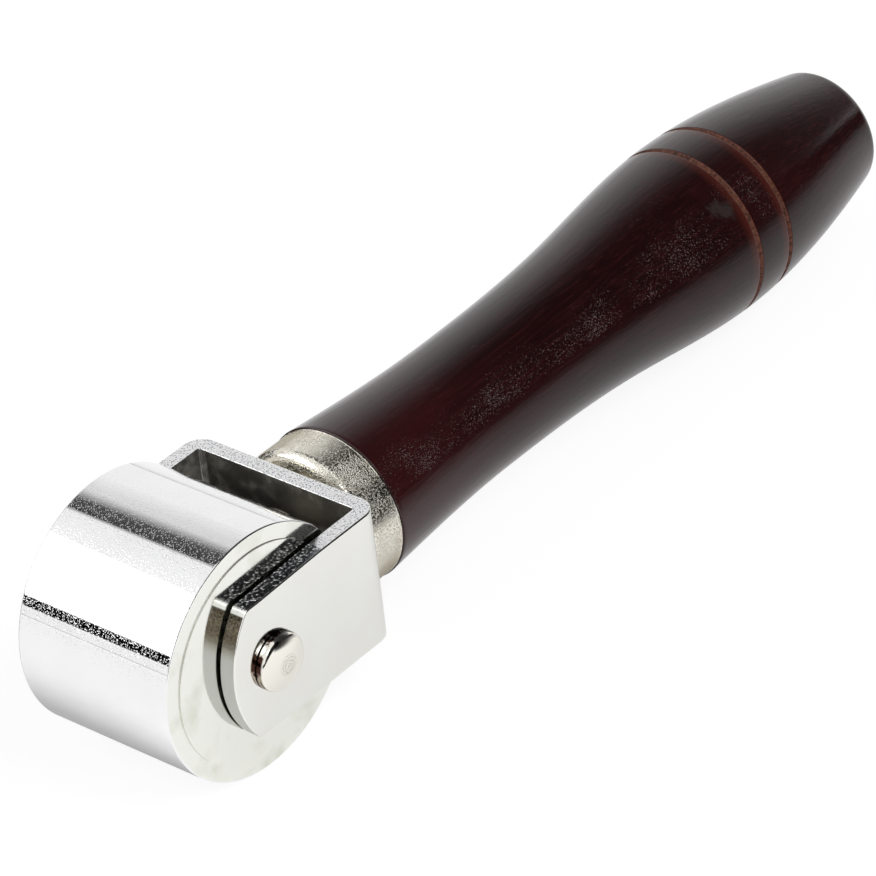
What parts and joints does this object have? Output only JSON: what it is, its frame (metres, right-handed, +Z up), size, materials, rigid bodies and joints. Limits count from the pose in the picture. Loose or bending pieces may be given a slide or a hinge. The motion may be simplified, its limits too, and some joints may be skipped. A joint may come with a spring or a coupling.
{
  "type": "seam roller",
  "caption": "Hand roller that presses seams flat: a polished steel roller spins on a riveted axle in a bent steel fork, on a turned dark wooden handle with a metal ferrule.",
  "frame": {"origin": "the line where the roller meets the floor, under the middle of the axle, with the tool lying at rest on its roller and the belly of its handle", "axes": "+X from the roller towards the butt of the handle, +Y along the axle, +Z up"},
  "size_m": [0.1661, 0.037, 0.0366],
  "materials": {
    "stained_wood": "dark stain under satin varnish",
    "nickel_plate": "nickel plated, slightly grainy",
    "plain_steel": "plain",
    "chrome_plate": "polished faces with sandy cut edges",
    "rivet_steel": "nickel plated",
    "mirror_chrome": "mirror polished",
    "bronze": "oiled"
  },
  "bodies": {
    "frame": {"handle": "stained_wood", "ferrule": "nickel_plate", "tang": "plain_steel", "fork": "chrome_plate", "axle": "rivet_steel", "washer_left": "plain_steel", "washer_right": "plain_steel"},
    "roller": {"roller": "mirror_chrome", "bush_left": "bronze", "bush_right": "bronze"}
  },
  "joints": [
    {"name": "roller_spin", "type": "hinge", "parent": "frame", "child": "roller", "pos_m": [0, 0, 0.0183], "axis": [0, 1, 0], "continuous": true}
  ]
}
